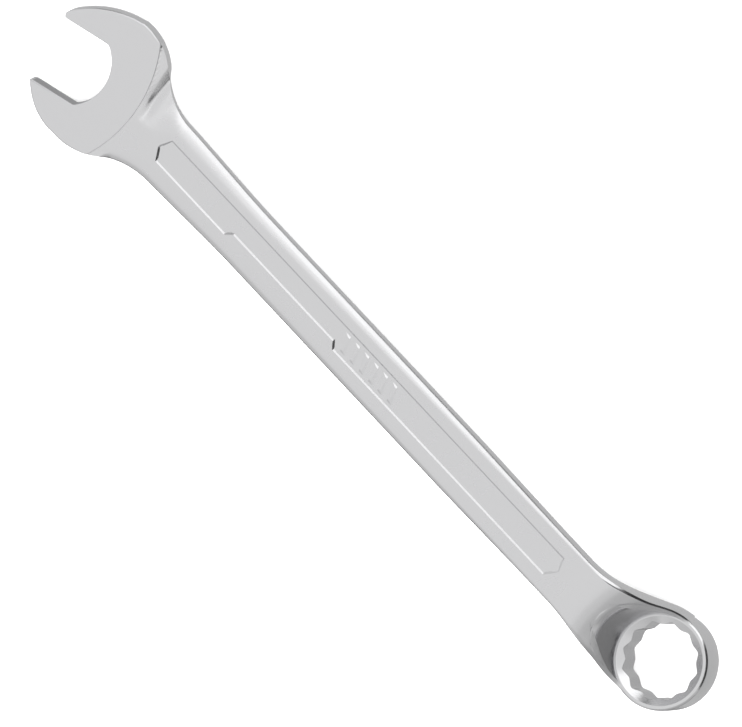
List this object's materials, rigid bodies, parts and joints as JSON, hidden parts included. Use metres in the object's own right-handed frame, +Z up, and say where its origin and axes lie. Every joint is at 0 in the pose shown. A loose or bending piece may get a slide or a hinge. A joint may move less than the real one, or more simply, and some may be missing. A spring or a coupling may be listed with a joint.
{
  "type": "combination wrench",
  "caption": "Combination wrench forged in one piece, with an open end set at an angle and a deep cranked twelve-point box end.",
  "frame": {"origin": "centre of the footprint, on the surface that the wrench lies on", "axes": "+X along the shank towards the box end, +Y across the shank towards the long jaw, +Z up, out of the side that carries the raised bars"},
  "size_m": [0.2428, 0.0376, 0.0269],
  "materials": {
    "chrome_steel": "satin"
  },
  "bodies": {
    "root": {"long_jaw": "chrome_steel", "short_jaw": "chrome_steel", "open_end_neck": "chrome_steel", "shank_bar": "chrome_steel", "raised_bars": "chrome_steel", "box_end_neck": "chrome_steel", "box_end_ring": "chrome_steel"}
  },
  "joints": []
}
